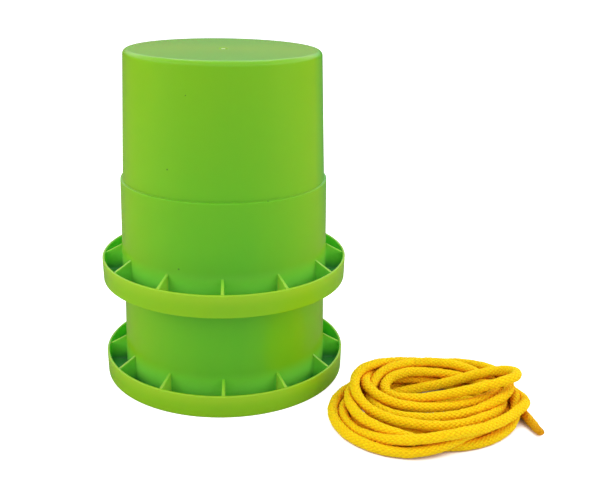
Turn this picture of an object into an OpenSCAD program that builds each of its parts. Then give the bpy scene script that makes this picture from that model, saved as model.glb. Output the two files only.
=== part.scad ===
// Tin can stilts: two stilt cups nested in a stack, and the hank of rope that goes with them.
// The origin is the middle of the lower cup's foot ring, on the ground, and +Z is up. The rope
// holes of both cups lie along X, and the hank lies on the ground at the front right (+X, -Y).

/* [Cup] */
// Height of one cup
cup_height = 137.5; // [120:0.5:150]
// Diameter of the platform that the foot stands on, taken where its face and the wall would meet
platform_d = 115; // [100:1:125]
// Thickness of the platform
platform_t = 3; // [2.4:0.1:4]
// Thickness of the side wall
wall_t = 2.2; // [1.6:0.1:2.8]
// Height of the shoulder, where a nested cup's rim rests
step_height = 62; // [52:0.5:72]
// Width of the flat seat that the shoulder gives a nested cup
seat_width = 1; // [0.7:0.1:1.6]
// Gap between the walls of two nested cups
nest_gap = 0.35; // [0.2:0.05:0.5]
// Gap between a nested cup's rim and the wall above the shoulder
rim_gap = 0.4; // [0.3:0.05:0.6]
// Radius of the platform's rounded edge
edge_radius = 3; // [1.5:0.1:3.5]
// Radius of the shoulder's rounded edge
shoulder_radius = 0.4; // [0.2:0.05:0.4]
// Diameter of the shallow dimple around the moulding gate, in the middle of the platform
dimple_d = 6; // [4:0.5:10]
// Depth of the dimple
dimple_depth = 0.6; // [0.3:0.1:1]
// Diameter of the gate's nub, which stays just below the platform's face
gate_d = 2.4; // [1.5:0.1:3]
// Height of the nub above the dimple's floor
gate_height = 0.5; // [0.2:0.05:0.55]

/* [Foot ring] */
// Diameter of the foot ring, over its band
foot_d = 150; // [142:1:165]
// Height of the band round the foot ring
band_height = 13.7; // [10:0.1:18]
// Thickness of the band
band_t = 1.5; // [1:0.1:2.2]
// How much further in the band's outside is at the ground than at its top
band_draft = 0.3; // [0.1:0.05:0.6]
// Thickness of the ring's floor, between the wall and the band
floor_t = 2; // [1.4:0.1:3]

/* [Gussets] */
// Number of gussets between the wall and the band
gusset_count = 12; // [6:1:16]
// Thickness of a gusset at its foot
gusset_t = 2; // [1.4:0.1:3]
// Thickness of a gusset at its crest
gusset_crest_t = 1.1; // [0.8:0.1:1.4]
// How far a gusset rises above the band where it meets the wall
gusset_rise = 4.7; // [2:0.1:8]

/* [Ribs under the platform] */
// Number of ribs under the platform
rib_count = 6; // [4:2:8]
// Depth of the ribs
rib_depth = 8; // [4:0.5:12]
// Thickness of the ribs
rib_t = 1.8; // [1.2:0.1:2.4]
// Diameter of the boss where the ribs meet
boss_d = 12; // [8:0.5:18]

/* [Rope holes] */
// Diameter of the two rope holes
rope_hole_d = 8; // [7:0.5:10]
// Distance of the holes' centres below the platform's face
rope_hole_drop = 25; // [22:0.5:40]

/* [Rope] */
// Diameter of the rope
rope_d = 6; // [4:0.5:7]
// Length of the hank over its outermost loop
hank_length = 112; // [104:1:130]
// Width of the hank over its outermost loop
hank_width = 73; // [68:1:90]
// Layers of loops lying on each other
layer_count = 4; // [2:2:4]
// Loops that lie side by side in a layer
loops_in_layer = 2; // [1:1:2]
// Gap between loops that lie side by side or on each other
loop_gap = 0.45; // [0.42:0.01:0.8]
// Angle that the hank's long axis makes with X
hank_turn = 9.5; // [-15:0.5:20]
// How far the hank's middle lies beyond the foot ring to the right
hank_beside = 41.5; // [38:0.5:60]
// How far the hank's middle lies beyond the foot ring to the front
hank_before = 8; // [5:0.5:25]

/* [Hidden] */
$fn = 96;

// Cup: radii that follow from the nesting. Two nested cups differ in height by step_height, so a
// wall that leans by wall_t + nest_gap over that height leaves the gap between them.
lean = (wall_t + nest_gap) / step_height;
platform_r = platform_d / 2;
upper_foot_r = platform_r + lean * (cup_height - step_height);
rim_r = upper_foot_r + rim_gap;
shoulder_r = rim_r + seat_width;
wall_foot_r = rim_r + wall_t;
inner_step_z = step_height - wall_t;
inner_top_z = cup_height - platform_t;
foot_r = foot_d / 2;
band_in_r = foot_r - band_t;
gusset_top_z = band_height + gusset_rise;
rope_hole_z = cup_height - rope_hole_drop;
// One overrun serves every cut
over = 1;
// Steps in the arc of a rounded edge
edge_steps = 8;
bead_steps = 4;

// Outside of the wall at a height, above and below the shoulder
function upper_r(z) = platform_r + lean * (cup_height - z);
function lower_r(z) = wall_foot_r + (shoulder_r - wall_foot_r) * z / step_height;

// Points of an arc from angle a to angle b
function arc(centre, r, a, b, steps) =
    [for (i = [0:steps]) let (t = a + (b - a) * i / steps) centre + r * [cos(t), sin(t)]];

// Centre of the platform's rounded edge, which touches the leaning wall and the platform's face
lean_angle = atan(lean);
edge_centre = [
    platform_r - edge_radius * (1 - sin(lean_angle)) / cos(lean_angle),
    cup_height - edge_radius
];

// Right half of the cup's section, [radius, height]
cup_outline = concat(
    [[rim_r, 0], [foot_r - band_draft, 0]],
    arc([foot_r - band_t / 2, band_height - band_t / 2], band_t / 2, 0, 180, edge_steps),
    [[band_in_r, floor_t], [lower_r(floor_t), floor_t]],
    arc([shoulder_r - shoulder_radius, step_height - shoulder_radius], shoulder_radius, 0, 90, bead_steps),
    [[upper_r(step_height), step_height]],
    arc(edge_centre, edge_radius, lean_angle, 90, edge_steps),
    [
        [0, cup_height],
        [0, inner_top_z],
        [upper_r(inner_top_z) - wall_t, inner_top_z],
        [upper_r(inner_step_z) - wall_t, inner_step_z],
        [lower_r(inner_step_z) - wall_t, inner_step_z]
    ]
);

// Side of a gusset, [radius, height]: it runs half into the wall and the band that it joins, and
// its crest climbs in a straight line from just below the band's rounded top to the wall
gusset_foot_z = band_height - band_t;
gusset_mid_r = foot_r - band_t / 2;
gusset_slope = (gusset_top_z - gusset_foot_z) / (gusset_mid_r - lower_r(gusset_top_z));
gusset_outline = [
    [wall_foot_r - wall_t / 2, floor_t / 2],
    [gusset_mid_r, floor_t / 2],
    [gusset_mid_r, gusset_foot_z],
    [lower_r(gusset_top_z) - wall_t / 2, gusset_top_z + gusset_slope * wall_t / 2]
];
// Section across a gusset, [across, height], which goes on above its crest
gusset_section = [
    [-gusset_t / 2, 0],
    [gusset_t / 2, 0],
    [gusset_crest_t / 2, gusset_top_z],
    [gusset_crest_t / 2, gusset_top_z + wall_t],
    [-gusset_crest_t / 2, gusset_top_z + wall_t],
    [-gusset_crest_t / 2, gusset_top_z]
];

// Rope: one unbroken tube that spirals in and out again, a layer higher each time
loop_pitch = rope_d + loop_gap;
rope_r = rope_d / 2;
loop_count = layer_count * loops_in_layer;
// The rope is flat where it lies on the ground, a tenth of its diameter deep
ground_cut = rope_d / 10;
rope_floor_z = rope_r - ground_cut;
// Half of the straight runs of a loop, and the radius of the outermost loop's round ends
half_run = (hank_length - hank_width) / 2;
end_r = (hank_width - rope_d) / 2;
hank_place = [foot_r + hank_beside, -foot_r - hank_before, 0];
// Rings and sides of the wound tube, and the steps of a loop: eight in each round end
loop_rings = 24;
rope_sides = 6;
end_steps = 8;
run_steps = (loop_rings - 2 * end_steps) / 2;
// Points in a loop for measuring the gap, and the loops apart at which two stretches count
gap_steps = 60;
apart_share = 0.2;
// Part of a loop in which the rope climbs to the next layer
climb_share = 0.5;
// Sides of the free end's tube
end_sides = 8;

// Distance from a loop's middle line that the spiral has moved in, after u loops
function moved_in(u) =
    let (k = floor(u / loops_in_layer), f = u - k * loops_in_layer)
    loop_pitch * (k % 2 == 0 ? f : loops_in_layer - f);

// Smooth step from 0 to 1
function eased(t) = let (c = max(0, min(1, t))) c * c * (3 - 2 * c);

// Height of the rope's middle after u loops: it climbs around each turning point of the spiral
function lifted(u, k = 1) =
    k >= layer_count
        ? rope_floor_z
        : loop_pitch * eased((u - k * loops_in_layer) / climb_share + 1 / 2) + lifted(u, k + 1);

// Point of a loop with round ends of radius r, after f of its 0 to 1, starting at the right tip
function on_loop(f, r) =
    let (
        s = f * loop_rings,
        a = end_steps / 2,
        b = a + run_steps,
        c = b + end_steps,
        d = c + run_steps,
        quarter = 180 / end_steps
    )
    s <= a ? [half_run + r * cos(s * quarter), r * sin(s * quarter)]
    : s <= b ? [half_run - 2 * half_run * (s - a) / run_steps, r]
    : s <= c ? [-half_run - r * sin((s - b) * quarter), r * cos((s - b) * quarter)]
    : s <= d ? [-half_run + 2 * half_run * (s - c) / run_steps, -r]
    : [half_run + r * sin((s - d) * quarter), -r * cos((s - d) * quarter)];

// Middle of the rope after u loops
function on_rope(u) =
    let (p = on_loop(u - floor(u), end_r - moved_in(u))) [p[0], p[1], lifted(u)];

// Both ends run straight for one diameter
rope_start = on_rope(0);
rope_route = concat(
    [rope_start - [0, rope_d, 0]],
    [for (i = [0:loop_count * loop_rings]) on_rope(i / loop_rings)],
    [on_rope(loop_count) + [0, rope_d, 0]]
);

// The free end goes on from the hank's start: places from there, chosen by hand
end_places = [[0, 0], [0, -6], [2, -13], [5, -20]];
end_route = [for (p = end_places) rope_start + [p[0], p[1] - rope_d, 0]];

// Length of a route, and the least gap between stretches of the rope that lie apart
function route_length(p, i = 0) =
    i >= len(p) - 1 ? 0 : norm(p[i + 1] - p[i]) + route_length(p, i + 1);
gap_points = [for (i = [0:loop_count * gap_steps]) on_rope(i / gap_steps)];
least_gap = min([
    for (i = [0:len(gap_points) - 1])
        for (j = [i + gap_steps * apart_share:len(gap_points) - 1])
            norm(gap_points[i] - gap_points[j])
]) - rope_d;
echo(least_gap_of_the_rope = least_gap, rope_length = route_length(rope_route) + route_length(end_route));

// Direction of a route at a point, from its neighbours, or at an end from the end and its neighbour
function heading(p, i) =
    let (last = len(p) - 1, d = p[min(last, i + 1)] - p[max(0, i - 1)]) d / norm(d);

// One closed tube along a route: rings of points, each square to the route, joined by triangles
module tube(p, r, sides) {
    rings = [
        for (i = [0:len(p) - 1])
            let (d = heading(p, i), side = cross(d, [0, 0, 1]))
                let (across = side / norm(side), up = cross(across, d))
                    for (k = [0:sides - 1])
                        let (t = 360 * k / sides - 90) p[i] + r * (cos(t) * across + sin(t) * up)
    ];
    walls = [
        for (i = [0:len(p) - 2])
            for (k = [0:sides - 1])
                let (a = i * sides + k, b = i * sides + (k + 1) % sides)
                    each [[a, a + sides, b + sides], [a, b + sides, b]]
    ];
    last = (len(p) - 1) * sides;
    caps = [for (k = [1:sides - 2]) each [[0, k, k + 1], [last, last + k + 1, last + k]]];
    polyhedron(rings, concat(walls, caps), convexity = 10);
}

// What lies above the ground
module above_ground(size) {
    translate([-size, -size, 0]) cube([2 * size, 2 * size, size]);
}

module gusset() {
    intersection() {
        rotate([90, 0, 0])
            linear_extrude(height = 2 * gusset_t, center = true)
                polygon(gusset_outline);
        rotate([90, 0, 90])
            linear_extrude(height = foot_r)
                polygon(gusset_section);
    }
}

module platform_ribs() {
    for (i = [0:rib_count - 1])
        rotate([0, 0, (i + 1 / 2) * 360 / rib_count])
            translate([0, -rib_t / 2, inner_top_z - rib_depth])
                cube([upper_r(inner_top_z) - wall_t / 2, rib_t, rib_depth + platform_t / 2]);
    translate([0, 0, inner_top_z - rib_depth])
        cylinder(d = boss_d, h = rib_depth + platform_t / 2);
}

module rope_holes() {
    translate([-foot_r, 0, rope_hole_z])
        rotate([0, 90, 0])
            cylinder(d = rope_hole_d, h = foot_d);
}

module gate_dimple() {
    translate([0, 0, cup_height - dimple_depth])
        difference() {
            cylinder(d = dimple_d, h = dimple_depth + over);
            translate([0, 0, -over])
                cylinder(d = gate_d, h = gate_height + over);
        }
}

// One moulded stilt cup, its rim on the ground
module stilt_cup() {
    difference() {
        union() {
            rotate_extrude()
                polygon(cup_outline);
            for (i = [0:gusset_count - 1])
                rotate([0, 0, i * 360 / gusset_count - 90])
                    gusset();
            platform_ribs();
        }
        rope_holes();
        gate_dimple();
    }
}

module lower_stilt_cup() {
    color("yellowgreen")
        stilt_cup();
}

// Nested over the lower cup, its rim on the lower cup's shoulder
module upper_stilt_cup() {
    color("yellowgreen")
        translate([0, 0, step_height])
            stilt_cup();
}

module rope_hank() {
    color("gold")
        translate(hank_place)
            rotate([0, 0, hank_turn])
                intersection() {
                    tube(rope_route, rope_r, rope_sides);
                    above_ground(hank_length);
                }
}

module rope_end() {
    color("gold")
        translate(hank_place)
            rotate([0, 0, hank_turn])
                intersection() {
                    tube(end_route, rope_r, end_sides);
                    above_ground(hank_length);
                }
}

lower_stilt_cup();
upper_stilt_cup();
rope_hank();
rope_end();
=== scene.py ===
import math
import bmesh
import bpy
import numpy as np
from mathutils import Matrix, Vector


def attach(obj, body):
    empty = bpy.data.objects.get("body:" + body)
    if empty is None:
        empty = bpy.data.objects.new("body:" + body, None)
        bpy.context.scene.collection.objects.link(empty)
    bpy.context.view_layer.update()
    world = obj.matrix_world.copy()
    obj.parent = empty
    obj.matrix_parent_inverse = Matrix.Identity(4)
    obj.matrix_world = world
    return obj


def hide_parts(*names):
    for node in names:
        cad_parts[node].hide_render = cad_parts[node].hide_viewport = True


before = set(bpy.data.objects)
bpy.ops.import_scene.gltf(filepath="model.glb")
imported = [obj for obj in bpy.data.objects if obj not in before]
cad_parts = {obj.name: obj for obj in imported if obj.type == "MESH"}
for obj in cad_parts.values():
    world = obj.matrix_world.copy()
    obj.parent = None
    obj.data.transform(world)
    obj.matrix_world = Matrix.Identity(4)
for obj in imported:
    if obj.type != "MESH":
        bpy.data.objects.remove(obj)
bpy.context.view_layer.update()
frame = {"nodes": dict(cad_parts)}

mm = 0.001
tiny = 1e-9   # mm, keeps a division from 0
scene = bpy.context.scene
scene.view_settings.view_transform = "Standard"
print("frame loaded:", ", ".join(frame["nodes"]))


# camera of the photograph, in the frame of the part
cameraSetup = {
    "place": (12.05, -519.4, 259.5),  # mm
    "turn": -3.85,  # degrees about Z, from looking along +Y
    "down": 19.45,  # degrees below the horizon
    "roll": 1.24,  # degrees, the picture's content turned clockwise
    "lens": 52.69,  # mm
    "sensor": 36.0,  # mm across
    "clip": (0.01, 20.0),  # m
}


def makeCamera(setup):
    # forward, right and up are built from the turn and the downward angle, then rolled about forward
    turn, down, roll = (math.radians(setup[k]) for k in ("turn", "down", "roll"))
    forward = Vector((-math.sin(turn) * math.cos(down), math.cos(turn) * math.cos(down), -math.sin(down)))
    flatRight = Vector((math.cos(turn), math.sin(turn), 0))
    flatUp = flatRight.cross(forward)
    right = math.cos(roll) * flatRight + math.sin(roll) * flatUp
    up = math.cos(roll) * flatUp - math.sin(roll) * flatRight
    data = bpy.data.cameras.new("photoCamera")
    data.lens = setup["lens"]
    data.sensor_width = setup["sensor"]
    data.sensor_fit = "HORIZONTAL"
    data.clip_start, data.clip_end = setup["clip"]
    camera = bpy.data.objects.new("photoCamera", data)
    scene.collection.objects.link(camera)
    matrix = Matrix((right, up, -forward)).transposed().to_4x4()
    matrix.translation = Vector(setup["place"]) * mm
    camera.matrix_world = matrix
    scene.camera = camera


makeCamera(cameraSetup)
print("camera set")


# node helpers

def newMaterial(name):
    # a material with an empty node tree
    material = bpy.data.materials.new(name)
    material.use_nodes = True
    material.node_tree.nodes.clear()
    return material, material.node_tree


def feed(tree, socket, value):
    # an input takes a link from another node's output, or a plain value
    if isinstance(value, bpy.types.NodeSocket):
        tree.links.new(value, socket)
    else:
        socket.default_value = value


def addNode(tree, kind, values=None, **settings):
    # a node with its properties set, and its inputs fed by name or number
    node = tree.nodes.new(kind)
    for key, value in settings.items():
        setattr(node, key, value)
    for key, value in (values or {}).items():
        feed(tree, node.inputs[key], value)
    return node


def mathNode(tree, operation, *inputs, clamp=False):
    # the operation on its inputs, in order
    node = addNode(tree, "ShaderNodeMath", dict(enumerate(inputs)), operation=operation, use_clamp=clamp)
    return node.outputs[0]


def product(tree, first, *others):
    # the first value times every other
    for other in others:
        first = mathNode(tree, "MULTIPLY", first, other)
    return first


def mapRange(tree, value, start, end, low=0.0, high=1.0, smooth=False):
    # low where the value is at its start, high where it is at its end, and level beyond both
    values = {"Value": value, "From Min": start, "From Max": end, "To Min": low, "To Max": high}
    kind = "SMOOTHSTEP" if smooth else "LINEAR"
    return addNode(tree, "ShaderNodeMapRange", values, interpolation_type=kind).outputs[0]


def mixColour(tree, factor, first, second):
    # from the first colour to the second; inputs 0, 6 and 7 are the factor and the colours
    first, second = ((*colour, 1) if isinstance(colour, tuple) else colour for colour in (first, second))
    return addNode(tree, "ShaderNodeMix", {0: factor, 6: first, 7: second}, data_type="RGBA").outputs[2]


def noise(tree, place, scale, detail, roughness=0.5):
    # clouds from 0 to 1, about 1 over the scale in width
    values = {"Vector": place, "Scale": scale, "Detail": detail, "Roughness": roughness}
    return addNode(tree, "ShaderNodeTexNoise", values).outputs["Fac"]


def makeSurface(tree, height, strength, depth, values):
    # a principled surface, with a bump of that height, strength and depth
    bump = addNode(tree, "ShaderNodeBump", {"Strength": strength, "Distance": depth, "Height": height})
    shader = addNode(tree, "ShaderNodeBsdfPrincipled", values | {"Normal": bump.outputs["Normal"]})
    addNode(tree, "ShaderNodeOutputMaterial", {"Surface": shader.outputs[0]})


def meshPiece(name, points, faces, smooth=True):
    # points in mm become a mesh at the origin, in metres
    mesh = bpy.data.meshes.new(name)
    mesh.from_pydata((np.asarray(points) * mm).tolist(), [], faces)
    mesh.polygons.foreach_set("use_smooth", np.full(len(mesh.polygons), smooth))
    mesh.validate()
    mesh.update()
    piece = bpy.data.objects.new(name, mesh)
    scene.collection.objects.link(piece)
    return piece


def gridFaces(rowCount, columnCount):
    # row, column and corners of each face of a grid whose last column joins its first
    i, j = np.meshgrid(np.arange(rowCount - 1), np.arange(columnCount), indexing="ij")
    right = (j + 1) % columnCount
    this, following = i * columnCount, (i + 1) * columnCount
    return i, j, np.stack([this + j, following + j, following + right, this + right], -1)


def capFaces(first, last, pole):
    # triangles that close the first row with a pole and the last row with the next point
    return np.vstack([np.stack([np.full(len(first), pole), first, np.roll(first, -1)], 1),
                      np.stack([np.full(len(last), pole + 1), np.roll(last, -1), last], 1)])


def lengthAlong(points):
    # the length of a line up to each of its points
    return np.concatenate([[0], np.cumsum(np.linalg.norm(np.diff(points, axis=0), axis=1))])


# the rope: one length, thrown down in a loose hank
rope = {
    "diameter": 6.0,
    "step": 2.5,  # mm between points while it settles
    "firstRounds": 25,  # smoothing rounds before it settles
    "firstReaches": (1, 2, 4),  # points to the neighbours that they look at
    "rounds": 600,  # settling rounds
    "reaches": (1, 2, 4, 6),
    "gravity": 0.2,  # mm a round
    "sightHold": 0.25,  # how firmly a seen strand stays on its line of sight
    "leastHold": 0.15,  # the share of that for a hidden strand
    "hiddenHold": 0.12,  # how firmly a hidden strand stays over its place
    "evening": 0.15,  # how firmly a point stays between its neighbours
    "bendRadius": 12.0,  # mm, tighter bends are opened
    "bendReaches": (5, 8, 11, 14),  # points across the bends that are measured
    "bendShare": 0.3,  # how firmly they are opened
    "freeLength": 2.2,  # diameters along the rope within which points don't push
    "pushes": 6,  # pushing rounds in each settling round
    "overPush": 1.6,  # how far overlapping strands are pushed, against just touching
    "spreads": 2,  # rounds in which a push spreads to the neighbours
    "pairRounds": 8,  # rounds between two searches for points that may touch
    "pairMargin": 5.0,  # mm over one diameter, where the search stops
    "lastRounds": 6,  # smoothing rounds of the finer line that the braid follows
    "lastReach": 4,
    "overrun": 30,  # points by which that line goes on past its ends meanwhile
    "strands": 8,  # strands of the braid each way round
    "around": 32,  # points round the tube
    "pitch": 3.0,  # mm from crossing to crossing along the rope
    "ringsPerPitch": 4,
    "relief": 0.34,  # mm, depth of the braid
    "arch": 0.55,  # how far a strand is arched along its length
    "crown": 0.8,  # power of the sine across a strand, less than 1 for a broad back
    "fluff": 0.1,  # mm, how far the yarns stand out over the diameter
    "lumps": 0.13,  # mm, uneven swelling
    "lumpLengths": (1.7, 9.3, 6.1),  # mm, of its waves
    "flatten": 0.05,  # how far the tube is pressed flat
    "endFlatten": 0.25,  # and how much further at the cut ends
    "taper": 0.28,  # how much thinner the cut ends are
    "taperLength": 32.0,  # mm
    "endShares": [0.6, 0.9],  # thickness of the last ring, and of those in the millimetre before it
    "endBulge": 0.1,  # mm, of the closed ends
    "uneven": 0.5,  # how much lower some crossings lie
    "unevenWaves": (12.9, 7.3, 3.7, 5.1),  # which of them, by waves over the pattern's cells
}

# Route from the free end on the ground to the tucked end, in mm: x, y and, off the ground, the height it is
# dropped from. The strands are by turns seen, and held on the camera's line of sight, and hidden under or
# behind others.
ropeRoute = [
    [(177, -102), (177, -94), (174, -87), (170, -80)],
    [(168, -62), (159, -47), (143, -36), (118, -33), (92, -38), (72, -48)],
    [(65, -61), (63, -77), (64, -89), (68, -100), (75, -109), (82, -115), (93, -120), (104, -119),
     (112, -121, 6), (121, -121, 9)],
    [(132, -106, 6), (150, -96, 4), (162, -84, 4), (168, -70), (160, -52), (142, -43), (116, -42), (92, -48),
     (77, -62), (73, -80), (80, -98), (92, -111), (107, -113), (126, -106), (147, -94), (162, -79),
     (164, -65, 4), (152, -55, 6), (140, -51, 7)],
    [(131, -47, 8), (119, -45, 8), (107, -47, 8), (94, -52, 7)],
    [(74, -58, 6)],
    [(68, -68, 4), (67, -75), (69, -86), (72, -94), (78, -101, 4), (84, -110, 7), (92, -115, 9),
     (101, -116, 10), (113, -116, 11), (128, -113, 11), (141, -108, 11), (155, -100, 11), (164, -92, 11),
     (170, -84, 11), (173, -74, 11)],
    [(174, -58, 10), (164, -44, 9), (145, -36, 9), (122, -34, 9), (96, -38, 9), (80, -48, 8)],
    [(73, -63, 5), (73, -72), (76, -81), (81, -89), (87, -94), (93, -100)],
    [(103, -107, 6), (112, -113, 5)],
    [(120, -117), (129, -115), (141, -110), (153, -103), (160, -96)],
    [(165, -89, 4), (167, -84, 7)],
    [(169, -84, 13), (171, -81, 16), (173, -70, 16)],
    [(170, -57, 15), (154, -42, 15), (130, -36, 15), (112, -36, 15)],
    [(109, -36, 15), (99, -35, 15), (88, -38, 14), (79, -44, 12), (76, -53, 10), (76, -65, 9), (79, -76, 9),
     (84, -84, 9), (91, -92, 9), (98, -98, 9), (106, -102, 10), (116, -105, 10), (131, -102, 10),
     (143, -97, 10)],
    [(156, -86, 10), (164, -76, 11), (164, -62, 13), (154, -50, 15)],
    [(152, -58, 20), (142, -58, 22), (133, -54, 23), (125, -50, 23), (114, -47, 22), (103, -50, 20),
     (94, -54, 18), (86, -59, 17), (81, -66, 16), (80, -74, 16), (83, -81, 15)],
    [(90, -88, 13), (98, -92, 13)],
    [(101, -96, 14), (108, -100, 15), (118, -104, 16), (130, -104, 17), (142, -101, 18), (152, -96, 19),
     (159, -90, 20), (165, -81, 20)],
    [(167, -62, 20)],
    [(167, -60, 18), (163, -52, 17), (159, -45, 16), (152, -38, 15), (146, -33, 14), (136, -33, 14),
     (126, -35, 14), (114, -38, 14), (102, -42, 14), (92, -49, 15), (84, -62, 17), (82, -78, 20),
     (84, -88, 20), (89, -95, 20), (95, -100, 20), (104, -104, 22), (117, -106, 24), (125, -107, 25),
     (133, -105, 25), (143, -101, 25), (151, -93, 24), (157, -80, 21)],
    [(160, -68, 18)],
    [(152, -60, 15), (145, -56, 14), (139, -53, 14), (131, -47, 13), (124, -43, 13), (114, -43, 13),
     (105, -44, 12), (97, -48, 11), (91, -52, 10), (89, -60, 10), (91, -66, 10), (97, -70, 10),
     (103, -74, 11), (111, -77, 12), (121, -79, 14), (131, -80, 18), (138, -84, 23), (144, -89, 28),
     (154, -88, 29), (161, -85, 29), (168, -82, 28), (173, -76, 27), (174, -69, 24), (172, -61, 22),
     (165, -58, 21), (157, -61, 21), (148, -68, 22), (137, -73, 22), (127, -74, 20), (117, -70, 15),
     (107, -61, 9), (98, -56, 6)],
    [(88, -60, 4), (85, -70), (93, -77), (106, -73), (120, -66), (134, -60), (148, -58), (157, -68),
     (152, -83), (137, -92), (120, -98), (104, -100), (91, -96), (83, -88), (80, -78)],
]


def shiftToNeighbours(points, reach, share):
    # every point moves a share of the way to the middle of its two neighbours at that reach
    moved = points.copy()
    moved[reach:-reach] += share * ((points[:-2 * reach] + points[2 * reach:]) / 2 - points[reach:-reach])
    return moved


def smoothLine(points, reaches):
    # half a step to the neighbours' middle and half a step back, which takes out kinks and keeps loops wide
    for reach in reaches:
        points = shiftToNeighbours(shiftToNeighbours(points, reach, 0.5), reach, -0.5)
    return points


def unit(vectors):
    # each vector over its own length
    return vectors / np.linalg.norm(vectors, axis=1, keepdims=True)


def evenSpacing(points, step):
    # points at equal distances along a Catmull-Rom curve through the given ones
    parts = 16
    t = np.linspace(0, 1, parts, endpoint=False)[None, :, None]
    padded = np.vstack([2 * points[0] - points[1], points, 2 * points[-1] - points[-2]])
    a, b, c, d = (padded[k:len(padded) - 3 + k, None, :] for k in range(4))
    fine = 0.5 * (2 * b + (c - a) * t + (2 * a - 5 * b + 4 * c - d) * t ** 2
                  + (3 * b - a - 3 * c + d) * t ** 3)
    fine = np.vstack([fine.reshape(-1, 3), points[-1]])
    travel = lengthAlong(fine)
    places = np.linspace(0, travel[-1], int(round(travel[-1] / step)) + 1)
    return np.stack([np.interp(places, travel, fine[:, k]) for k in range(3)], 1)


def openBends(setup, points):
    # Two points of one bend are pushed apart to the chord that the least bend radius gives for the length
    # between them: twice the radius times the sine of half the angle.
    travel = lengthAlong(points)
    opened = np.zeros_like(points)
    for reach in setup["bendReaches"]:
        gap = points[reach:] - points[:-reach]
        distance = np.linalg.norm(gap, axis=1) + tiny
        angle = np.minimum((travel[reach:] - travel[:-reach]) / (2 * setup["bendRadius"]), math.pi / 2)
        lack = np.maximum(0, 2 * setup["bendRadius"] * np.sin(angle) - distance)
        move = gap * (setup["bendShare"] * lack / distance)[:, None]
        opened[reach:] += move
        opened[:-reach] -= move
    return points + opened


def pushApart(setup, points, nearA, nearB):
    # Points closer than one diameter move apart along the line between them. Each takes the mean of its
    # moves, spread over its neighbours.
    gap = points[nearA] - points[nearB]
    distance = np.sqrt((gap * gap).sum(1)) + tiny
    hit = distance < setup["diameter"]
    if not hit.any():
        return points
    a, b = nearA[hit], nearB[hit]
    move = gap[hit] * (0.5 * (setup["diameter"] - distance[hit]) / distance[hit])[:, None]
    total, times = np.zeros_like(points), np.zeros(len(points))
    for index, part in ((a, move), (b, -move)):
        np.add.at(total, index, part)
        np.add.at(times, index, 1)
    total /= np.maximum(times, 1)[:, None]
    for spread in range(setup["spreads"]):
        total[1:-1] = 0.25 * total[:-2] + 0.5 * total[1:-1] + 0.25 * total[2:]
    return points + total * setup["overPush"]


def settleRope(setup, route, eye):
    # The strands sink, hold to the lines of sight and push each other apart to one diameter.
    diameter, step = setup["diameter"], setup["step"]
    keys = np.array([(*point, diameter / 2)[:3] for strand in route for point in strand])
    seen = np.array([k % 2 == 0 for k, strand in enumerate(route) for point in strand], float)
    points = evenSpacing(keys, step)
    keyPlaces = np.maximum.accumulate([np.argmin(np.linalg.norm(points - k, axis=1)) for k in keys])
    index = np.arange(len(points))
    hold = setup["leastHold"] + (1 - setup["leastHold"]) * np.interp(index, keyPlaces, seen)
    for turn in range(setup["firstRounds"]):
        points = smoothLine(points, setup["firstReaches"])
    points[:, 2] = np.maximum(points[:, 2], diameter / 2)
    home = points.copy()
    sight = unit(home - eye)
    apart = np.abs(index[:, None] - index[None]) > int(round(setup["freeLength"] * diameter / step))
    pairA, pairB = np.where(np.triu(apart))
    hidden = hold < 0.5
    for turn in range(setup["rounds"]):
        if turn % setup["pairRounds"] == 0:
            gap = points[pairA] - points[pairB]
            close = (gap * gap).sum(1) < (diameter + setup["pairMargin"]) ** 2
            nearA, nearB = pairA[close], pairB[close]
        points[:, 2] -= setup["gravity"]
        away = points - home
        away -= (away * sight).sum(1)[:, None] * sight
        points -= setup["sightHold"] * hold[:, None] * away
        points[hidden, :2] += setup["hiddenHold"] * (home[hidden, :2] - points[hidden, :2])
        points = shiftToNeighbours(smoothLine(points, setup["reaches"]), 1, setup["evening"])
        points = openBends(setup, points)
        for push in range(setup["pushes"]):
            points = pushApart(setup, points, nearA, nearB)
            points[:, 2] = np.maximum(points[:, 2], diameter / 2)
    return points


def braidHeight(setup, around, along):
    # Two families of strands cross, one turning left and one right. In every cell of the crossing pattern
    # one family lies on top: round across its width and arched along its length. Some are sunk a little.
    a, b = around + along, around - along
    cellA, cellB = np.floor(a), np.floor(b)
    over = (cellA + cellB) % 2 < 1
    acrossA, acrossB = np.abs(np.sin(np.pi * a)), np.abs(np.sin(np.pi * b))
    arch, crown = setup["arch"], setup["crown"]
    onA, onB = (p ** crown * (1 - arch + arch * q) for p, q in ((acrossA, acrossB), (acrossB, acrossA)))
    waves = setup["unevenWaves"]
    sunk = np.sin(cellA * waves[0] + cellB * waves[1]) * np.sin(cellB * waves[2] - cellA * waves[3])
    return np.where(over, onA, onB) - setup["uneven"] * np.abs(sunk)


def ropeRadius(setup, angle, column, row):
    # half the diameter, less the braid's relief where strands dip, swelling in waves and thinner at the ends
    perPitch = setup["ringsPerPitch"]
    height = braidHeight(setup, setup["strands"] * (column[None] + 0.5) / setup["around"],
                         (row[:, None] + 0.5) / perPitch)
    travel = row[:, None] * setup["pitch"] / perPitch
    short, middle, long = setup["lumpLengths"]
    bunching = 2 * np.sin(travel / middle)
    swell = setup["lumps"] * np.sin(travel / short + bunching) * np.sin(travel / long + angle)
    endDistance = np.minimum(travel, travel[-1] - travel)
    taper = np.clip(1 - endDistance / setup["taperLength"], 0, 1) ** 2
    rounded = np.select([endDistance == 0, endDistance < 1], setup["endShares"], 1.0)
    endShare = (1 - setup["taper"] * taper) * rounded
    radius = setup["diameter"] / 2 + setup["fluff"] + swell - setup["relief"] * (1 - height)
    return radius * endShare, setup["flatten"] + setup["endFlatten"] * taper


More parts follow.
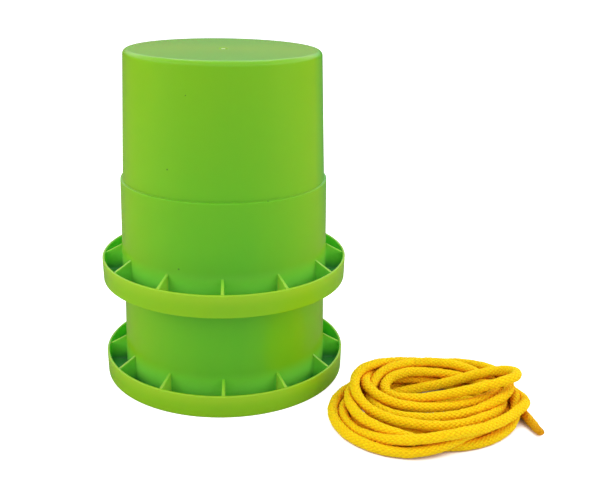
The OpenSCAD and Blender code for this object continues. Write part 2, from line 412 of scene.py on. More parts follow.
def makeRope(setup, points):
    # A tube of rings along the settled line, a little flattened, with a pole at each end.
    perPitch = setup["ringsPerPitch"]
    centres = evenSpacing(points, setup["pitch"] / perPitch)
    # the line goes on past its ends while it is smoothed
    extra = setup["overrun"]
    before = 2 * centres[:1] - centres[extra:0:-1]
    after = 2 * centres[-1:] - centres[-2:-extra - 2:-1]
    centres = np.vstack([before, centres, after])
    for turn in range(setup["lastRounds"]):
        centres = shiftToNeighbours(centres, setup["lastReach"], 0.5)
    centres = centres[extra:-extra]
    tangent = unit(np.gradient(centres, axis=0))
    side = unit(np.cross(tangent, [0.0, 0.0, 1.0]))
    up = np.cross(side, tangent)
    around, rings = setup["around"], len(centres)
    column, row = np.arange(around), np.arange(rings)
    angle = 2 * np.pi * column / around
    radius, flatten = ropeRadius(setup, angle, column, row)
    ring = (radius * np.cos(angle) * (1 + flatten / 2))[:, :, None] * side[:, None] \
        + (radius * np.sin(angle) * (1 - flatten / 2))[:, :, None] * up[:, None]
    vertices = (centres[:, None] + ring).reshape(-1, 3)
    i, j, quads = gridFaces(rings, around)
    caps = capFaces(column, column + (rings - 1) * around, len(vertices))
    bulge = setup["endBulge"]
    vertices = np.vstack([vertices, centres[:1] - bulge * tangent[:1], centres[-1:] + bulge * tangent[-1:]])
    piece = meshPiece("ropeLength", vertices, quads.reshape(-1, 4).tolist() + caps.tolist())
    layer = piece.data.uv_layers.new(name="braid")
    u, v = np.stack([j, j, j + 1, j + 1], -1) / around, np.stack([i, i + 1, i + 1, i], -1) / perPitch
    uv = np.vstack([np.stack([u, v], -1).reshape(-1, 2), np.zeros((len(caps) * 3, 2))])
    layer.data.foreach_set("uv", uv.astype(np.float32).ravel())
    return piece, centres


ropeLine = settleRope(rope, ropeRoute, np.array(cameraSetup["place"]))
ropePiece, ropeCentres = makeRope(rope, ropeLine)
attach(ropePiece, "rope")
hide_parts("rope_hank", "rope_end")
print("rope laid:", round(lengthAlong(ropeCentres)[-1]), "mm,", len(ropePiece.data.polygons), "faces")


# a stilt cup: one moulding, 12 gussets round its foot and 6 ribs with a boss under its platform, all in mm
cup = {
    "height": 137.5, "stepHeight": 62.0, "wall": 2.2, "platformThickness": 3.0,
    "platformRadius": 57.5, "draft": 0.041129, "edgeRadius": 3.0,
    "shoulderRadius": 62.005, "shoulderRound": 0.4,
    "wallFootRadius": 63.205, "wallFootSlope": 1.2 / 62, "rimRadius": 61.005,
    "innerStep": 59.8, "innerRound": 0.4, "floorThickness": 2.0, "footRadius": 74.7,
    "bandRadius": 75.0, "bandThickness": 1.5, "bandShoulder": 12.95,
    "gussets": 12, "gussetTop": 18.4, "gussetEnd": 12.6, "gussetFootHalf": 1.1, "gussetCrestHalf": 0.75,
    "gussetGap": 0.6,  # from a gusset's top to the straight wall above it
    "gussetFootHeight": 1.0,  # up to here a gusset keeps its foot's thickness
    "flankWidth": 1.2,  # the grid's first open column stands this far from a gusset's face
    "ribHalf": 0.9, "ribDepth": 8.0, "bossRadius": 6.0,
    "dimpleRadius": 3.0, "dimpleDepth": 0.6, "gateRadius": 1.2, "gateHeight": 0.5, "gateRound": 0.15,
    "holeRadius": 4.0, "holeHeight": 112.5, "holeRim": 0.25, "holeBevel": 0.07,
    "patch": 7.0,  # half the height of the square patch of grid round a hole
    "patchColumns": 7,  # columns to either side of its middle one
    "patchRows": 9,
    "patchGap": 1.0,  # from the patch to the rows over and under it
    "holeShares": (0.45, 0.12, 0.0),  # how square the rings round a hole still are, from the patch inwards
    "evenAbove": 14.0,  # height of wall over which the gussets' columns spread evenly
    "evenBandRows": 9,  # rows round the band's top over which they do
    "evenBelowRibs": 5.0,  # height below the ribs over which theirs do
    "round": 0.35,  # small roundings of a moulding's edges
    "fillet": 0.8,  # roundings inside the pockets
    "pitch": 62.0,  # how far the upper cup stands above the lower one
}

# columns over half a sector, from the middle of its gusset
cupColumns = {
    "kind": ["crest"] * 3 + ["flank"] * 6 + ["open"] * 6,
    "rise": [1, 1, 0.997, 0.985, 0.93, 0.5, 0.1, 0.03] + [0] * 7,  # of the gusset there, 1 at its crest
    # on the crest a share of its half thickness, on a flank mm beside it, on the wall a share of its width
    "extra": [0, 0.6, 0.88, 0, 0, 0, 0, 0.14, 0.5, 0, 0.1, 0.24, 0.4, 0.6, 0.8],
}


def line(start, end, count, support=0.3, supportShare=0.2):
    # Points on a straight line, both ends left to the neighbours, with a support point close to each end:
    # that many mm away, or at most that share of the line.
    start, end = np.array([start, end], float)
    near = min(support / np.linalg.norm(end - start), supportShare)
    middle = np.linspace(0, 1, count + 2)[1:-1]
    share = np.concatenate([[near], middle, [1 - near]])
    return start + (end - start) * share[:, None]


def arc(centre, radius, first, last, count=5):
    # points on a circle about the centre, from the first angle to the last one, in degrees
    angle = np.radians(np.linspace(first, last, count))
    return np.stack([centre[0] + radius * np.cos(angle), centre[1] + radius * np.sin(angle)], 1)


def against(points, start, end):
    # points on the straight line from start to end, spaced as the given ones are
    start, end = np.array([start, end])
    travel = lengthAlong(points)
    return start + (end - start) * (travel / travel[-1])[:, None]


def cupSection(c):
    # The section from the middle of the platform out, down, under the foot and back up inside. It is worked
    # out twice: plain, and with the gusset's crest and the rib's lower edge for the pocket and the ceiling.
    top, step, wall, small, fillet = (c[k] for k in ("height", "stepHeight", "wall", "round", "fillet"))
    upper = lambda z: c["platformRadius"] + c["draft"] * (top - z)
    lower = lambda z: c["wallFootRadius"] - c["wallFootSlope"] * z
    rows = []

    def add(tag, *parts):
        # rows that are the same in both sections
        points = np.vstack(parts)
        rows.append((tag, points, points))

    def addRibbed(tag, start, end, *parts):
        # rows from start to end, and as many on the straight line between them
        plain = np.vstack([[start], *parts, [end]])
        rows.append((tag, plain, against(plain, start, end)))

    def wallLine(radiusAt, first, last, count):
        # along a wall, from its first height to its last
        return line((radiusAt(first), first), (radiusAt(last), last), count)

    # the platform, with the gate's nub in its dimple
    gate, gateRound, dimple = c["gateRadius"], c["gateRound"], c["dimpleRadius"]
    dimpleFloor = top - c["dimpleDepth"]
    gateTop = dimpleFloor + c["gateHeight"]
    tilt = math.atan(c["draft"])
    edgeIn = c["edgeRadius"] * (1 - math.sin(tilt)) / math.cos(tilt)
    edge = (c["platformRadius"] - edgeIn, top - c["edgeRadius"])
    add("top", arc((gate - gateRound, gateTop - gateRound), gateRound, 90, 0, 3),
        [(gate, dimpleFloor + 0.02), (gate + 0.3, dimpleFloor), (dimple - 0.5, dimpleFloor),
         (dimple - 0.2, dimpleFloor + 0.06), (dimple - 0.02, top - 0.12), (dimple + 0.12, top),
         (dimple + 0.6, top)],
        line((dimple + 0.6, top), (edge[0], top), 5), arc(edge, c["edgeRadius"], 90, math.degrees(tilt), 9))

    # the outside, down to the pockets
    patchRows = np.linspace(c["holeHeight"] + c["patch"], c["holeHeight"] - c["patch"], c["patchRows"])
    overPatch, underPatch = patchRows[0] + c["patchGap"], patchRows[-1] - c["patchGap"]
    shoulder, gussetTop = c["shoulderRound"], c["gussetTop"]
    wallFoot = gussetTop + c["gussetGap"]
    edgeEnd = rows[-1][1][-1]
    add("outside", line(edgeEnd, (upper(overPatch), overPatch), 1))
    add("outerPatch", np.stack([upper(patchRows), patchRows], 1))
    add("outside", wallLine(upper, underPatch, step + 0.3, 6),
        [(upper(step + 0.25), step + 0.25), (upper(step) + 0.08, step + 0.06), (upper(step) + 0.3, step)],
        arc((c["shoulderRadius"] - shoulder, step - shoulder), shoulder, 90, 0),
        wallLine(lower, step - 0.45, wallFoot, 5), [(lower(wallFoot - 0.1), wallFoot - 0.1)])

    # the pocket: down the wall, over the floor and up the band, against the gusset's straight crest
    floor, bandIn = c["floorThickness"], c["bandRadius"] - c["bandThickness"]
    cornerZ = floor + fillet
    crestStart, crestEnd = (lower(gussetTop), gussetTop), (bandIn, c["gussetEnd"])
    wallCorner, bandCorner = (lower(cornerZ) + fillet, cornerZ), (bandIn - fillet, cornerZ)
    addRibbed("pocket", crestStart, crestEnd, line(crestStart, (lower(cornerZ), cornerZ), 4),
              arc(wallCorner, fillet, 180, 270, 6), line((wallCorner[0], floor), (bandCorner[0], floor), 3),
              arc(bandCorner, fillet, -90, 0, 6), line((bandIn, cornerZ), crestEnd, 3))

    # over the band's rounded top, down its outside, under the foot and up the inside
    bead, foot, rim = c["bandThickness"] / 2, c["footRadius"], c["rimRadius"]
    add("outside", [(bandIn, c["gussetEnd"] + 0.2)],
        arc((c["bandRadius"] - bead, c["bandShoulder"]), bead, 180, 0, 9),
        line((c["bandRadius"], c["bandShoulder"] - 0.05), (foot + 0.01, small + 0.05), 3),
        arc((foot - small, small), small, 0, -90, 4),
        line((foot - small - 0.05, 0), (rim + small + 0.05, 0), 1),
        arc((rim + small, small), small, -90, -180, 4))
    inStep, inRound = c["innerStep"], c["innerRound"]
    innerFoot = lower(inStep) - wall
    innerLower = lambda z: rim + (innerFoot - rim) * z / inStep
    innerUpper = lambda z: upper(z) - wall
    innerTop = top - c["platformThickness"]
    ribZ = innerTop - c["ribDepth"]
    add("inside", wallLine(innerLower, small + 0.05, inStep - 0.45, 4),
        arc((innerFoot - inRound, inStep - inRound), inRound, 0, 90, 4),
        [(innerUpper(inStep) + 0.2, inStep), (innerUpper(inStep) + 0.04, inStep + 0.06),
         (innerUpper(inStep + 0.3), inStep + 0.3)], wallLine(innerUpper, inStep + 0.35, underPatch, 6))
    add("innerPatch", np.stack([innerUpper(patchRows[::-1]), patchRows[::-1]], 1))
    add("inside", wallLine(innerUpper, overPatch, ribZ - 0.4, 3))

    # the ceiling: up the wall, in under the platform and down the boss, against the rib's straight edge
    boss, cornerZ = c["bossRadius"], innerTop - fillet
    ribStart, ribEnd = (innerUpper(ribZ), ribZ), (boss, ribZ)
    wallCorner, bossCorner = (innerUpper(cornerZ) - fillet, cornerZ), (boss + fillet, cornerZ)
    addRibbed("ceiling", ribStart, ribEnd, line(ribStart, (innerUpper(cornerZ), cornerZ), 1),
              arc(wallCorner, fillet, 0, 90), line((wallCorner[0], innerTop), (bossCorner[0], innerTop), 6),
              arc(bossCorner, fillet, 90, 180, 4), line((boss, cornerZ), ribEnd, 1))
    bossFoot = ribZ - 0.001
    add("inside", [(boss - 0.3, bossFoot), (boss / 2, bossFoot)])

    tags = np.concatenate([[tag] * len(plain) for tag, plain, ribbed in rows])
    return tags, np.vstack([row[1] for row in rows]), np.vstack([row[2] for row in rows]), gateTop, bossFoot


def evenShare(c, tags, plain):
    # How evenly a row's columns are spaced: 0 where gussets and ribs need them gathered, 1 on the open walls.
    # It grows in an S curve over the wall above the pockets, round the band's top and below the ribs.
    z = plain[:, 1]
    row = np.arange(len(z))
    firstPocket, lastPocket = np.where(tags == "pocket")[0][[0, -1]]
    above = (z - c["gussetTop"] - c["gussetGap"]) / c["evenAbove"]
    band = (row - lastPocket - 1) / c["evenBandRows"]
    inside = 1 - (z - c["holeHeight"] - c["patch"] - c["patchGap"]) / c["evenBelowRibs"]
    isInside = np.isin(tags, ("inside", "innerPatch"))
    share = np.where(row < firstPocket, above, np.where(isInside, inside, band))
    share = np.clip(np.where(np.isin(tags, ("pocket", "ceiling")), 0, share), 0, 1)
    return share * share * (3 - 2 * share)


def spreadColumns(columns, sectors):
    # The columns of half a sector are mirrored about the gusset, closed by one column halfway to the next
    # gusset, and repeated round the axis.
    count = len(columns["kind"])
    order = np.concatenate([np.arange(count)[:0:-1], np.arange(count)])
    kind, rise, extra = (np.array(columns[k])[order] for k in ("kind", "rise", "extra"))
    side = np.where(np.arange(len(order)) < count - 1, -1.0, 1.0)
    lists = ((kind, "open"), (rise, 0.0), (extra, 1.0), (side, 1.0))
    return [np.tile(np.append(values, last), sectors) for values, last in lists]


def cupGrid(c, columns, tags, plain, ribbed):
    # Section rows by columns round the axis. In the columns of a gusset or rib the plain section is drawn
    # over to the ribbed one, and the column keeps a level width from its middle plane, not an angle.
    sectors, count = c["gussets"], len(columns["kind"])
    half = math.pi / sectors
    kind, rise, extra, side = spreadColumns(columns, sectors)
    sector = np.repeat(np.arange(sectors), 2 * count)
    isPocket, isCeiling = (tags == "pocket")[:, None], (tags == "ceiling")[:, None]
    share = np.where(isPocket | isCeiling & (sector % 2 == 1), rise, 0)
    radius, height = (plain[:, k:k + 1] + (ribbed - plain)[:, k:k + 1] * share for k in range(2))

    # half thickness of the gusset at that height, and of the rib under the platform
    lean = np.clip((height - c["gussetFootHeight"]) / (c["gussetTop"] - c["gussetFootHeight"]), 0, 1)
    halfWidth = c["gussetFootHalf"] + (c["gussetCrestHalf"] - c["gussetFootHalf"]) * lean
    halfWidth = np.where(isCeiling & (rise > 0), c["ribHalf"], halfWidth)
    offset = np.where(kind == "crest", halfWidth * extra, halfWidth + np.where(kind == "open", 0, extra))
    reach = np.maximum(radius, c["bossRadius"])
    flankEnd = np.arcsin(np.clip((halfWidth + c["flankWidth"]) / reach, 0, 1))
    angle = np.arcsin(np.clip(offset / reach, 0, 1))
    angle = np.where(kind == "open", flankEnd + (half - flankEnd) * extra, angle)
    angle = angle * side + sector * 2 * half
    evenAngle = np.tile((np.arange(2 * count) - count + 1) / count * half, sectors) + sector * 2 * half
    angle += (evenAngle - angle) * evenShare(c, tags, plain)[:, None]
    return np.stack([radius * np.cos(angle), radius * np.sin(angle), height], -1)


def squareLoop(rows, block, columnCount):
    # once round the edge of a patch: along its last row, up, back along its first row, and down
    index = rows[:, None] * columnCount + block
    return np.concatenate([index[-1], index[-2:0:-1, -1], index[0, ::-1], index[1:-1, 0]])


def holeRings(c, outerEdge, innerEdge, side):
    # Rings on the outer wall that change over from the patch's square edge to the circle, the bevelled bore,
    # and the same again on the inner wall. Each lies on the cone of the wall at its depth.
    rim, bevel = c["holeRim"], c["holeBevel"]
    direction = np.arctan2(outerEdge[:, 2] - c["holeHeight"], outerEdge[:, 1] * side)

    def ring(edge, flare, squareShare, depth):
        radius = c["holeRadius"] + flare
        across = radius * np.cos(direction) * (1 - squareShare) + edge[:, 1] * side * squareShare
        above = radius * np.sin(direction) * (1 - squareShare) + (edge[:, 2] - c["holeHeight"]) * squareShare
        z = c["holeHeight"] + above
        wallRadius = c["platformRadius"] + c["draft"] * (c["height"] - z) - depth
        return np.stack([np.sqrt(wallRadius ** 2 - across ** 2) * side, across * side, z], 1)

    plan = [(rim, share, 0) for share in c["holeShares"]] + [(bevel, 0, bevel), (0, 0, rim)]
    return [ring(outerEdge, *values) for values in plan] \
        + [ring(innerEdge, flare, squareShare, c["wall"] - depth) for flare, squareShare, depth in plan[::-1]]


def makeCup(name, c, columns, lift):
    # The grid, with a patch taken out on each side and closed again round a rope hole, and two poles.
    tags, plain, ribbed, topPole, bottomPole = cupSection(c)
    grid = cupGrid(c, columns, tags, plain, ribbed)
    rowCount, columnCount = grid.shape[:2]
    points = [grid.reshape(-1, 3)]
    total = len(points[0])
    keep = np.ones((rowCount - 1, columnCount), bool)
    outer, inner = (np.where(tags == tag)[0] for tag in ("outerPatch", "innerPatch"))
    strips = []
    gussetColumn = len(columns["kind"]) - 1
    for middle, side in ((gussetColumn, 1), (gussetColumn + columnCount // 2, -1)):
        block = np.arange(middle - c["patchColumns"], middle + c["patchColumns"] + 1) % columnCount
        for rows in (outer, inner):
            keep[rows[0]:rows[-1], block[:-1]] = False
        outerLoop, innerLoop = (squareLoop(rows, block, columnCount) for rows in (outer, inner[::-1]))
        loops = [outerLoop]
        for ring in holeRings(c, points[0][outerLoop], points[0][innerLoop], side):
            points.append(ring)
            loops.append(np.arange(total, total + len(ring)))
            total += len(ring)
        loops.append(innerLoop)
        strips += [np.stack([a, np.roll(a, -1), np.roll(b, -1), b], 1) for a, b in zip(loops[:-1], loops[1:])]
    quads = np.vstack([gridFaces(rowCount, columnCount)[2][keep]] + strips)

    first = np.arange(columnCount)
    caps = capFaces(first, first + (rowCount - 1) * columnCount, total)
    points = np.vstack(points + [[(0, 0, topPole), (0, 0, bottomPole)]]) + [0, 0, lift]
    used = np.unique(np.concatenate([quads.ravel(), caps.ravel()]))
    renumber = np.full(len(points), -1)
    renumber[used] = np.arange(len(used))
    piece = meshPiece(name, points[used], renumber[quads].tolist() + renumber[caps].tolist())
    # columns that meet where a gusset or rib ends become one
    whole = bmesh.new()
    whole.from_mesh(piece.data)
    bmesh.ops.remove_doubles(whole, verts=whole.verts, dist=1e-7)
    whole.to_mesh(piece.data)
    whole.free()
    return piece


lowerCup = makeCup("lowerStiltCup", cup, cupColumns, 0)
upperCup = makeCup("upperStiltCup", cup, cupColumns, cup["pitch"])
for piece, body, node, slotName in ((lowerCup, "lower_cup", "lower_stilt_cup", "lower_cup_green"),
                                    (upperCup, "upper_cup", "upper_stilt_cup", "upper_cup_green")):
    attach(piece, body)
    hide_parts(node)
print("cups moulded:", len(lowerCup.data.polygons), "faces each")


# materials

plastic = {
    "colour": (0.245, 0.49, 0.004),
    "shade": (0.085, 0.45, 0.012),  # painted shade: a bluer, darker green on the front and back
    "shadeShare": 0.95,
    "shadeHeights": (0.19, 0.09),  # m, where it fades towards the platform
    "platformShare": 0.45,  # what is left of it there
    "centreArea": 0.0004,  # m2, keeps it off the axis
    "leastRadius": 0.001,  # m, the least that is divided by
    "shadeRadii": (0.066, 0.073),  # m, where it fades towards the band
    "bandShare": 0.15,  # what is left of it there
    "rightShadeShare": 0.8,  # share of the painted shade along the right side of the upper cup
    "rightward": (0.88, 0.99),  # x over the radius, where that side starts and is full
    "rightHeights": (0.085, 0.125),  # m
    "wallRadii": (0.054, 0.0565),  # m, from the platform's face to the wall
    "cloudScale": 22.0, "cloudRise": 0.25, "cloudDetail": 3.0, "cloudGrain": 0.55, "cloudShare": 0.25,
    "speck": (0.03, 0.09, 0.01),
    "speckScale": 60.0, "speckSize": 0.032, "speckShare": 0.7,
    # painted light: a paler green on the pocket walls, lighter than the lamps make them
    "pocket": (0.21, 0.71, 0.065),
    "pocketRadii": (0.0615, 0.0737),  # m
    "pocketHeights": (0.023, 0.01),  # m over the cup's foot, as the heights below
    # painted highlight: a lighter, yellower green on the gussets' crests and side faces
    "gusset": (0.37, 0.67, 0.05),
    "frontward": (0.95, 0.55),  # size of the normal's Y, from none of that colour to all of it
    "gussetShares": (0.3, 0.6),  # how far a face looks sideways or up, from none of it to all of it
    # painted shade: a deep teal on the pocket floors
    "pocketFloorShade": (0.05, 0.35, 0.07),
    "floorHeights": (0.009, 0.001),
    "bandTopPaintedLight": (0.31, 0.54, 0.014),  # painted light: a lighter, yellower green on the upper part of the band
    "bandRadii": (0.0735, 0.074),  # m
    "bandHeights": (0.005, 0.0145),
    "gate": (0.75, 0.92, 0.45),  # a pale spot near the axis, on the gate's nub
    "gateRadius": 0.0013,  # m
    "gateShare": 0.8,
    "roughness": 0.21, "cloudRoughness": 0.08,
    "specular": 0.5, "ior": 1.49,
    "wave": 0.00004,  # m, long waves left by the mould
    "waveScale": 45.0, "waveDetail": 2.0, "waveStrength": 0.5,
    "milk": 0.3,  # light that passes through the plastic
    "milkDepth": 0.006,  # m
    "milkColour": (0.3, 1.0, 0.45),
}


def makePlastic(name, setup, lift):
    # The plastic's green, mixed in turn with a painted shade of bluer green, specks, painted light and shade
    # in the pockets and on the gussets, painted light on the band's top and a pale spot at the gate, each
    # with a share by radius, height or normal.
    material, tree = newMaterial(name)
    coordinates = addNode(tree, "ShaderNodeTexCoord").outputs
    place = coordinates["Object"]
    x, y, height = addNode(tree, "ShaderNodeSeparateXYZ", {0: place}).outputs
    normalX, normalY, normalZ = addNode(tree, "ShaderNodeSeparateXYZ", {0: coordinates["Normal"]}).outputs
    squareY = product(tree, y, y)
    squares = mathNode(tree, "ADD", product(tree, x, x), squareY)
    radius = mathNode(tree, "SQRT", squares)
    safeRadius = mathNode(tree, "MAXIMUM", radius, setup["leastRadius"])

    # painted shade in a bluer green: most on the front and back, least at the sides, less near the platform
    # and on the band
    front = mathNode(tree, "DIVIDE", squareY, mathNode(tree, "ADD", squares, setup["centreArea"]))
    lowDown = mapRange(tree, height, *setup["shadeHeights"], setup["platformShare"])
    offBand = mapRange(tree, radius, *setup["shadeRadii"], 1.0, setup["bandShare"])
    shade = product(tree, front, lowDown, setup["shadeShare"], offBand)
    # painted shade along the right side of the upper cup's wall
    rightward = mathNode(tree, "DIVIDE", x, safeRadius)
    onRightShade = mapRange(tree, rightward, *setup["rightward"], 0.0, setup["rightShadeShare"])
    onUpperWall = product(tree, mapRange(tree, height, *setup["rightHeights"]),
                          mapRange(tree, radius, *setup["wallRadii"]))
    shade = mathNode(tree, "MULTIPLY_ADD", onRightShade, onUpperWall, shade)
    # random clouds, drawn out upwards, that raise and lower the painted shade
    drawn = addNode(tree, "ShaderNodeMapping", {"Vector": place, "Scale": (1.0, 1.0, setup["cloudRise"])})
    clouds = noise(tree, drawn.outputs[0], setup["cloudScale"], setup["cloudDetail"], setup["cloudGrain"])
    cloudiness = mathNode(tree, "SUBTRACT", clouds, 0.5)
    shade = mathNode(tree, "MULTIPLY_ADD", cloudiness, setup["cloudShare"], shade)
    colour = mixColour(tree, mathNode(tree, "MAXIMUM", shade, 0.0), setup["colour"], setup["shade"])

    dots = addNode(tree, "ShaderNodeTexVoronoi", {"Vector": place, "Scale": setup["speckScale"]})
    isDot = mathNode(tree, "LESS_THAN", dots.outputs["Distance"], setup["speckSize"])
    colour = mixColour(tree, product(tree, isDot, setup["speckShare"]), colour, setup["speck"])

    def atHeights(heights):
        # 0 at the first height over the cup's foot, 1 at the second
        return mapRange(tree, height, lift + heights[0], lift + heights[1], smooth=True)

    # painted light and shade in the pockets: their walls are painted paler towards the foot, the gussets'
    # crests and the sides that face right or left are painted lighter and yellower, and the floor is painted
    # a deep shaded green
    inner, outer = setup["pocketRadii"]
    inRing = product(tree, mathNode(tree, "GREATER_THAN", radius, inner),
                     mathNode(tree, "LESS_THAN", radius, outer))
    tangent = mathNode(tree, "SUBTRACT", product(tree, x, normalY), product(tree, y, normalX))
    sideways = mathNode(tree, "DIVIDE", mathNode(tree, "ABSOLUTE", tangent), safeRadius)
    facing = mapRange(tree, mathNode(tree, "ABSOLUTE", normalY), *setup["frontward"], smooth=True)
    onGusset = mathNode(tree, "MAXIMUM", product(tree, sideways, facing), normalZ)
    onGusset = mapRange(tree, onGusset, *setup["gussetShares"], smooth=True)
    pocket = mixColour(tree, onGusset, setup["pocket"], setup["gusset"])
    pocket = mixColour(tree, atHeights(setup["floorHeights"]), pocket, setup["pocketFloorShade"])
    colour = mixColour(tree, product(tree, inRing, atHeights(setup["pocketHeights"])), colour, pocket)
    onBand = mapRange(tree, radius, *setup["bandRadii"], smooth=True)
    colour = mixColour(tree, product(tree, onBand, atHeights(setup["bandHeights"])), colour, setup["bandTopPaintedLight"])
    isGate = mathNode(tree, "LESS_THAN", radius, setup["gateRadius"])
    colour = mixColour(tree, product(tree, isGate, setup["gateShare"]), colour, setup["gate"])

    wave = noise(tree, place, setup["waveScale"], setup["waveDetail"])
    rough = mathNode(tree, "ADD", product(tree, clouds, setup["cloudRoughness"]), setup["roughness"])
    makeSurface(tree, wave, setup["waveStrength"], setup["wave"], {
        "Base Color": colour, "Roughness": rough,
        "IOR": setup["ior"], "Specular IOR Level": setup["specular"],
        "Subsurface Weight": setup["milk"], "Subsurface Radius": setup["milkColour"],
        "Subsurface Scale": setup["milkDepth"]})
    return material


ropeFinish = {
    "yarn": (1.0, 0.72, 0.004),
    # painted shade: a darker orange in the grooves between the braid's strands
    "grooveShade": (1.0, 0.55, 0.003),
    "grooveNarrow": 1.4,  # how narrow the grooves between the strands are
    "tint": (1.0, 0.6, 0.004),  # where the dye is stronger, in clouds and strand by strand
    "cloudScale": 90.0, "cloudDetail": 3.0, "cloudShare": 0.5, "strandShare": 0.45,
    "endShade": (0.62, 0.24, 0.003),  # painted shade: darker along the rope's free end, which lies in shade
    "endShadeLength": 30.0,  # mm
    "endShadeShare": 0.85,
    "creviceShade": (1.0, 0.33, 0.003),  # painted shade: a deeper orange between the rope's turns
    "creviceDepth": 0.006,  # m
    "creviceRays": 8,
    "creviceOpen": (0.85, 0.2),  # openness where it starts and is full
    "creviceShare": 0.8,
    "roughness": 0.7, "specular": 0.12,
    "yarns": 3, "yarnHeight": 0.25,  # yarns in a strand, and their height against the strand's
    "bump": 0.0005,  # m
    "bumpStrength": 0.9,
    "glow": 0.3,  # light that passes through the yarns
    "glowDepth": 0.0015,  # m
    "glowColour": (1.0, 0.5, 0.2),
    "sheen": 0.06, "sheenRoughness": 0.5, "sheenTint": (1.0, 0.8, 0.15, 1.0),
}


def makeRopeMaterial(name, setup, braid):
    # The braid map runs once round the rope in u and by one crossing in v, so the yarns follow the relief.
    material, tree = newMaterial(name)
    uv = addNode(tree, "ShaderNodeUVMap", uv_map="braid").outputs[0]
    turn, along = addNode(tree, "ShaderNodeSeparateXYZ", {0: uv}).outputs[:2]
    around = product(tree, turn, braid["strands"])
    a, b = mathNode(tree, "ADD", around, along), mathNode(tree, "SUBTRACT", around, along)
    cellA, cellB = mathNode(tree, "FLOOR", a), mathNode(tree, "FLOOR", b)
    parity = mathNode(tree, "ABSOLUTE", mathNode(tree, "MODULO", mathNode(tree, "ADD", cellA, cellB), 2.0))
    over = mathNode(tree, "LESS_THAN", parity, 0.5)

    def wave(value, times):
        # the sine's size, which falls to 0 at the edges of each strand or yarn
        return mathNode(tree, "ABSOLUTE", mathNode(tree, "SINE", product(tree, value, math.pi * times)))

    def strand(width, length):
        # round across its width and arched along its length
        return product(tree, width, mathNode(tree, "MULTIPLY_ADD", length, braid["arch"], 1 - braid["arch"]))

    def choose(first, second):
        # first where the one family lies on top, otherwise second
        return mathNode(tree, "MULTIPLY_ADD", over, mathNode(tree, "SUBTRACT", first, second), second)

    acrossA, acrossB = wave(a, 1), wave(b, 1)
    height = choose(strand(acrossA, acrossB), strand(acrossB, acrossA))
    yarn = choose(wave(a, setup["yarns"]), wave(b, setup["yarns"]))
    # painted shade in the grooves between strands
    onStrand = mathNode(tree, "MULTIPLY", height, setup["grooveNarrow"], clamp=True)
    colour = mixColour(tree, onStrand, setup["grooveShade"], setup["yarn"])
    place = addNode(tree, "ShaderNodeTexCoord").outputs["Object"]
    clouds = noise(tree, place, setup["cloudScale"], setup["cloudDetail"])
    colour = mixColour(tree, product(tree, clouds, setup["cloudShare"]), colour, setup["tint"])
    cell = addNode(tree, "ShaderNodeCombineXYZ", {0: cellA, 1: cellB}).outputs[0]
    chance = addNode(tree, "ShaderNodeTexWhiteNoise", {"Vector": cell}, noise_dimensions="2D")
    byStrand = product(tree, chance.outputs["Value"], setup["strandShare"])
    colour = mixColour(tree, byStrand, colour, setup["tint"])
    # painted shade along the free end's last stretch
    endShade = mapRange(tree, along, 0.0, setup["endShadeLength"] / braid["pitch"], setup["endShadeShare"], 0.0)
    colour = mixColour(tree, endShade, colour, setup["endShade"])
    # painted shade: between the rope's turns, found by ambient occlusion, the colour is painted a deeper
    # orange
    creviceShade = addNode(tree, "ShaderNodeAmbientOcclusion", {"Distance": setup["creviceDepth"]},
                      samples=setup["creviceRays"], only_local=True).outputs["AO"]
    closed = mapRange(tree, creviceShade, *setup["creviceOpen"], 0.0, setup["creviceShare"])
    colour = mixColour(tree, closed, colour, setup["creviceShade"])

    full = mathNode(tree, "MULTIPLY_ADD", yarn, setup["yarnHeight"], height)
    makeSurface(tree, full, setup["bumpStrength"], setup["bump"], {
        "Base Color": colour, "Roughness": setup["roughness"], "Specular IOR Level": setup["specular"],
        "Subsurface Weight": setup["glow"], "Subsurface Radius": setup["glowColour"],
        "Subsurface Scale": setup["glowDepth"], "Sheen Weight": setup["sheen"],
        "Sheen Roughness": setup["sheenRoughness"], "Sheen Tint": setup["sheenTint"]})
    return material


lowerCup.data.materials.append(makePlastic("lowerCupPlastic", plastic, 0))
upperCup.data.materials.append(makePlastic("upperCupPlastic", plastic, cup["pitch"] * mm))
ropePiece.data.materials.append(makeRopeMaterial("yellowBraid", ropeFinish, rope))
print("materials made")


# floor, light and white surroundings, in m
studio = {
    "floorSize": 6.0,
    "floorHeight": -0.00005,
    "floorColour": (0.8, 0.8, 0.8),
    "floorInGloss": (0.16, 0.16, 0.16),  # the floor as gloss sees it
    "floorGlow": 0.7,  # added to what the camera sees of the floor
    "gapRays": 8,
    "gapSize": 0.025,  # gaps narrower than this lose the glow and take the painted shade below
    "gapOpen": (0.05, 0.35),  # openness up to which that is full, and from which it is gone
    # painted shade: orange-brown floor and glow in narrow gaps under and inside the rope's hank
    "gapShade": (0.45, 0.2, 0.01),
    "gapShadeGlow": (1.0, 0.45, 0.05),
    "white": (1.0, 1.0, 1.0),
    "worldLight": 0.77,
    "worldSide": 0.06,  # what gloss sees near the horizon, against 1 a little higher
    "sideRise": (0.1, 0.4),
    "worldTop": 0.45,  # what it sees overhead
    "topFall": (0.45, 0.8),
    "worldGloss": (0.92, 1.0, 1.25),  # tint of what gloss sees of it
    "aim": (0.03, -0.02, 0.09),  # where the three large lamps point
    "topPower": 10.5, "topPlace": (0.0, 0.1, 1.6), "topSize": 1.6,
    "keyPower": 5.2, "keyPlace": (-1.1, -0.35, 0.5), "keySize": 0.8,
    "fillPower": 5.0, "fillPlace": (1.2, -0.4, 0.5), "fillSize": 0.8,
    "backPower": 1.2, "backPlace": (0.26, 0.95, 1.45), "backAim": (0.0, 0.0, 0.2),
    "backWidth": 0.36, "backHeight": 0.15,
}


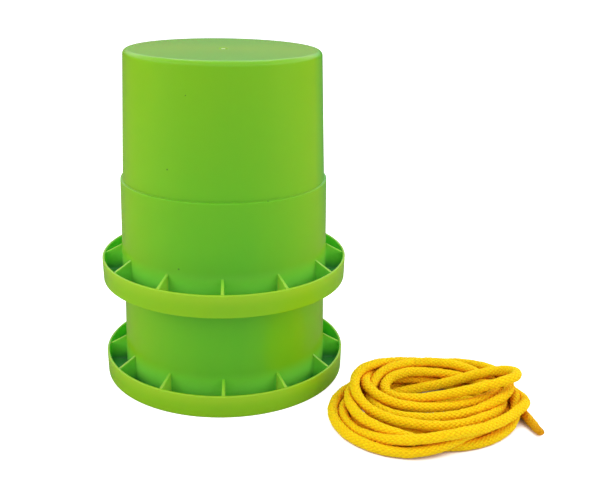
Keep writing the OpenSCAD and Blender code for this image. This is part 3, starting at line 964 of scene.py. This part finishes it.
def makeFloor(setup):
    # matte white, darker to gloss, with a glow that only the camera sees, and painted orange-brown shade in
    # narrow gaps
    size, height = setup["floorSize"], setup["floorHeight"]
    corners = [(x * size, y * size, height) for x, y in ((-1, -1), (1, -1), (1, 1), (-1, 1))]
    floor = meshPiece("studioFloor", np.array(corners) / mm, [(0, 1, 2, 3)], smooth=False)
    material, tree = newMaterial("paleFloor")
    path = addNode(tree, "ShaderNodeLightPath").outputs
    gap = addNode(tree, "ShaderNodeAmbientOcclusion", {"Distance": setup["gapSize"]},
                  samples=setup["gapRays"]).outputs["AO"]
    openShare = mapRange(tree, gap, *setup["gapOpen"])
    colour = mixColour(tree, path["Is Glossy Ray"], setup["floorColour"], setup["floorInGloss"])
    colour = mixColour(tree, openShare, setup["gapShade"], colour)
    matte = addNode(tree, "ShaderNodeBsdfDiffuse", {"Color": colour})
    glow = addNode(tree, "ShaderNodeEmission", {
        "Color": mixColour(tree, openShare, setup["gapShadeGlow"], setup["white"]),
        "Strength": product(tree, path["Is Camera Ray"], setup["floorGlow"], openShare)})
    both = addNode(tree, "ShaderNodeAddShader", {0: matte.outputs[0], 1: glow.outputs[0]})
    addNode(tree, "ShaderNodeOutputMaterial", {"Surface": both.outputs[0]})
    floor.data.materials.append(material)


def makeWorld(setup):
    # The camera sees white, and matte surfaces a little less. Gloss sees white above the horizon, a darker
    # ceiling, and a darker room low down.
    world = bpy.data.worlds.new("whiteStudio")
    scene.world = world
    world.use_nodes = True
    tree = world.node_tree
    tree.nodes.clear()
    path = addNode(tree, "ShaderNodeLightPath").outputs
    gloss = mathNode(tree, "MAXIMUM", path["Is Glossy Ray"], path["Is Transmission Ray"])
    direction = addNode(tree, "ShaderNodeTexCoord").outputs["Generated"]
    upwards = addNode(tree, "ShaderNodeSeparateXYZ", {0: direction}).outputs[2]
    rise = mapRange(tree, upwards, *setup["sideRise"], setup["worldSide"], 1.0)
    fall = mapRange(tree, upwards, *setup["topFall"], 1.0, setup["worldTop"])
    plain = setup["worldLight"]
    strength = mathNode(tree, "MULTIPLY_ADD", path["Is Camera Ray"], 1 - plain, plain)
    shine = mathNode(tree, "SUBTRACT", product(tree, rise, fall), plain)
    strength = mathNode(tree, "MULTIPLY_ADD", gloss, shine, strength)
    colour = mixColour(tree, gloss, setup["white"], setup["worldGloss"])
    background = addNode(tree, "ShaderNodeBackground", {"Color": colour, "Strength": strength})
    addNode(tree, "ShaderNodeOutputWorld", {"Surface": background.outputs[0]})


def makeLamp(name, power, place, aim, size):
    # a square lamp that faces its aim
    data = bpy.data.lights.new(name, "AREA")
    data.energy = power
    data.size = size
    lamp = bpy.data.objects.new(name, data)
    scene.collection.objects.link(lamp)
    lamp.location = place
    lamp.rotation_euler = (Vector(aim) - Vector(place)).to_track_quat("-Z", "Y").to_euler()
    return lamp


def makeLamps(setup):
    # three large lamps that gloss doesn't see
    for which in ("top", "key", "fill"):
        lamp = makeLamp(which + "Lamp", setup[which + "Power"], setup[which + "Place"], setup["aim"],
                        setup[which + "Size"])
        lamp.visible_glossy = False
    # two low boxes behind and above, whose reflection draws the bright line along the platform's front edge
    for name, side in (("leftBackLamp", -1), ("rightBackLamp", 1)):
        x, y, z = setup["backPlace"]
        lamp = makeLamp(name, setup["backPower"], (side * x, y, z), setup["backAim"], setup["backWidth"])
        lamp.data.shape = "RECTANGLE"
        lamp.data.size_y = setup["backHeight"]


makeFloor(studio)
makeWorld(studio)
makeLamps(studio)
print("studio lit")
